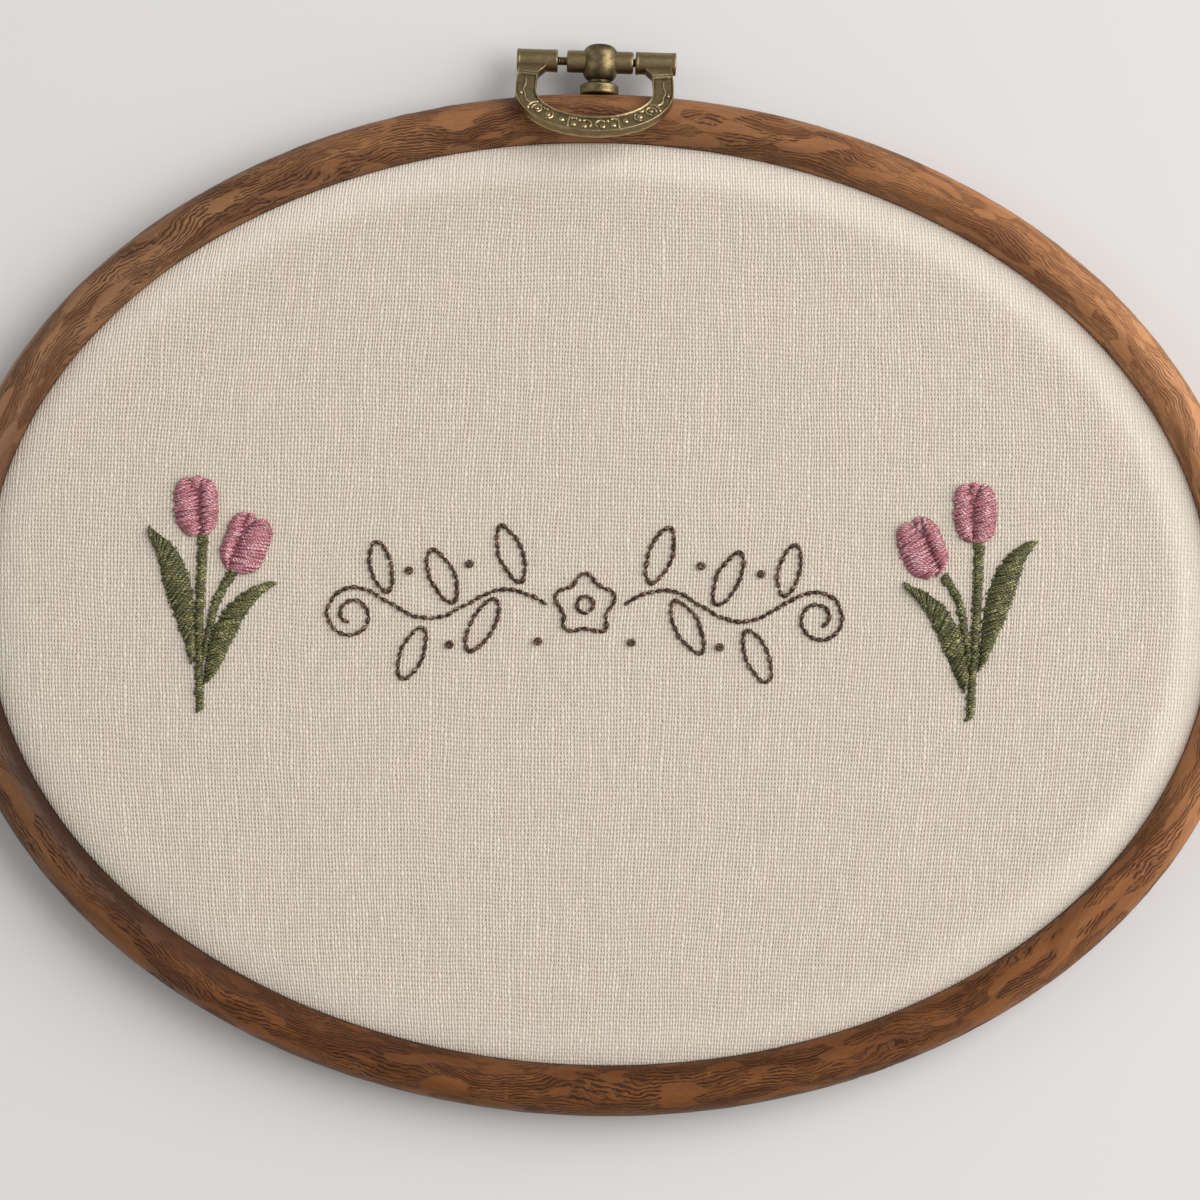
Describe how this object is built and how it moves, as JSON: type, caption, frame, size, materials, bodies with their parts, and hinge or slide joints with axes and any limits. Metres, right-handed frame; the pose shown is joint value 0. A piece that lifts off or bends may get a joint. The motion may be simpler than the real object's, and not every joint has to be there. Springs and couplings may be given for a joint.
{
  "type": "embroidered cloth in an oval embroidery hoop",
  "caption": "Linen cloth stretched in an oval woodgrain embroidery hoop, stitched with tulip sprigs and a vine, with a swinging brass hanger",
  "frame": {"origin": "middle of the bounding box, at the bottom, where the hoop's flat back rests", "axes": "+X to the right across the long way of the oval, +Y towards the hanger, +Z out of the stitched face"},
  "size_m": [0.1978, 0.1618, 0.0148],
  "materials": {
    "wood_look": "embossed woodgrain, satin",
    "ivory_plastic": "moulded, matte",
    "linen": "plain weave",
    "antique_brass": "antiqued, worn bright on the edges",
    "pink_thread": "satin stitch, sheen",
    "olive_thread": "satin stitch, sheen",
    "brown_thread": "line stitch"
  },
  "bodies": {
    "hoop": {"outer_ring": "wood_look", "inner_ring": "ivory_plastic", "cloth": "linen", "hanger_post": "antique_brass", "left_stem_tall": "olive_thread", "left_stem_bent": "olive_thread", "left_leaf_outer": "olive_thread", "left_leaf_inner": "olive_thread", "left_upright_petal_left": "pink_thread", "left_upright_petal_right": "pink_thread", "left_upright_petal_middle": "pink_thread", "left_leaning_petal_left": "pink_thread", "left_leaning_petal_right": "pink_thread", "left_leaning_petal_middle": "pink_thread", "right_stem_tall": "olive_thread", "right_stem_bent": "olive_thread", "right_leaf_outer": "olive_thread", "right_leaf_inner": "olive_thread", "right_upright_petal_left": "pink_thread", "right_upright_petal_right": "pink_thread", "right_upright_petal_middle": "pink_thread", "right_leaning_petal_left": "pink_thread", "right_leaning_petal_right": "pink_thread", "right_leaning_petal_middle": "pink_thread", "rosette": "brown_thread", "rosette_eye": "brown_thread", "vine_left": "brown_thread", "vine_leaf_left_1": "brown_thread", "vine_leaf_left_2": "brown_thread", "vine_leaf_left_3": "brown_thread", "vine_leaf_left_4": "brown_thread", "vine_leaf_left_5": "brown_thread", "vine_knot_left_1": "brown_thread", "vine_knot_left_2": "brown_thread", "vine_knot_left_3": "brown_thread", "vine_knot_left_4": "brown_thread", "vine_right": "brown_thread", "vine_leaf_right_1": "brown_thread", "vine_leaf_right_2": "brown_thread", "vine_leaf_right_3": "brown_thread", "vine_leaf_right_4": "brown_thread", "vine_leaf_right_5": "brown_thread", "vine_knot_right_1": "brown_thread", "vine_knot_right_2": "brown_thread", "vine_knot_right_3": "brown_thread", "vine_knot_right_4": "brown_thread"},
    "bail": {"bail": "antique_brass", "hanger_pin": "antique_brass"}
  },
  "joints": [
    {"name": "bail_swing", "type": "hinge", "parent": "hoop", "child": "bail", "pos_m": [-0.0022, 0.07823, 0.005], "axis": [-1, 0, 0], "range_deg": [0, 155]}
  ]
}
